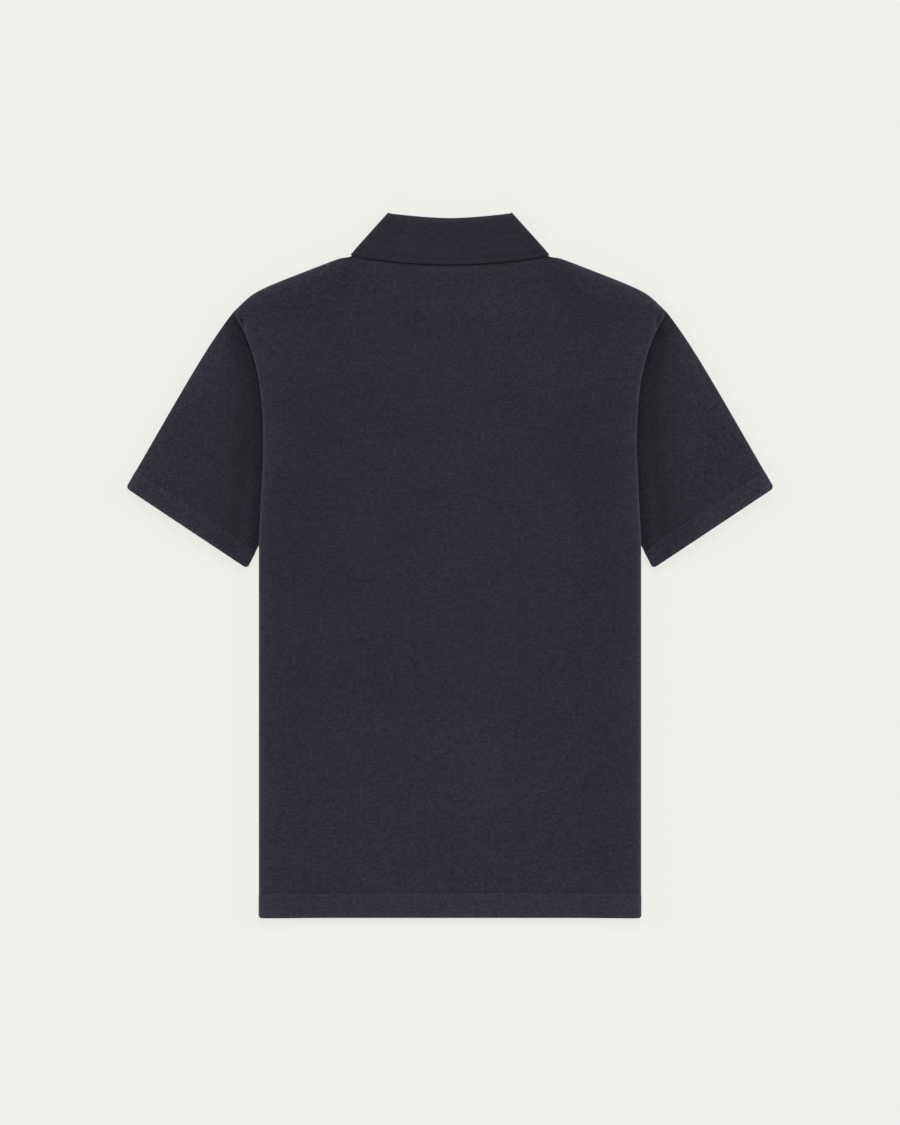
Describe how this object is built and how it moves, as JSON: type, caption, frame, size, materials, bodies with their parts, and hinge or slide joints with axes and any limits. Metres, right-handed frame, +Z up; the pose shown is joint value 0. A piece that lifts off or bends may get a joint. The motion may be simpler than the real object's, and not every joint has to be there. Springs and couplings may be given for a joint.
{
  "type": "polo shirt",
  "caption": "Short-sleeved polo shirt in plain dark jersey with a folded collar and a short buttoned placket, laid flat and face down.",
  "frame": {"origin": "on the surface that the shirt rests on, under the middle of its outline", "axes": "+X to the right across the laid shirt, +Y from the hem to the collar, +Z up out of the shirt's back"},
  "size_m": [0.6938, 0.7547, 0.0075],
  "materials": {
    "jersey": "matt heathered charcoal-navy jersey knit",
    "collar_jersey": "matt, finer and slightly darker knit of the same colour",
    "button": "satin dark resin, colour-matched to the cloth"
  },
  "bodies": {
    "root": {"back": "jersey", "front": "jersey", "sleeve_left": "jersey", "sleeve_right": "jersey", "collar": "collar_jersey", "placket_upper": "jersey", "placket_under": "jersey", "button_1": "button", "button_2": "button", "button_3": "button"}
  },
  "joints": []
}
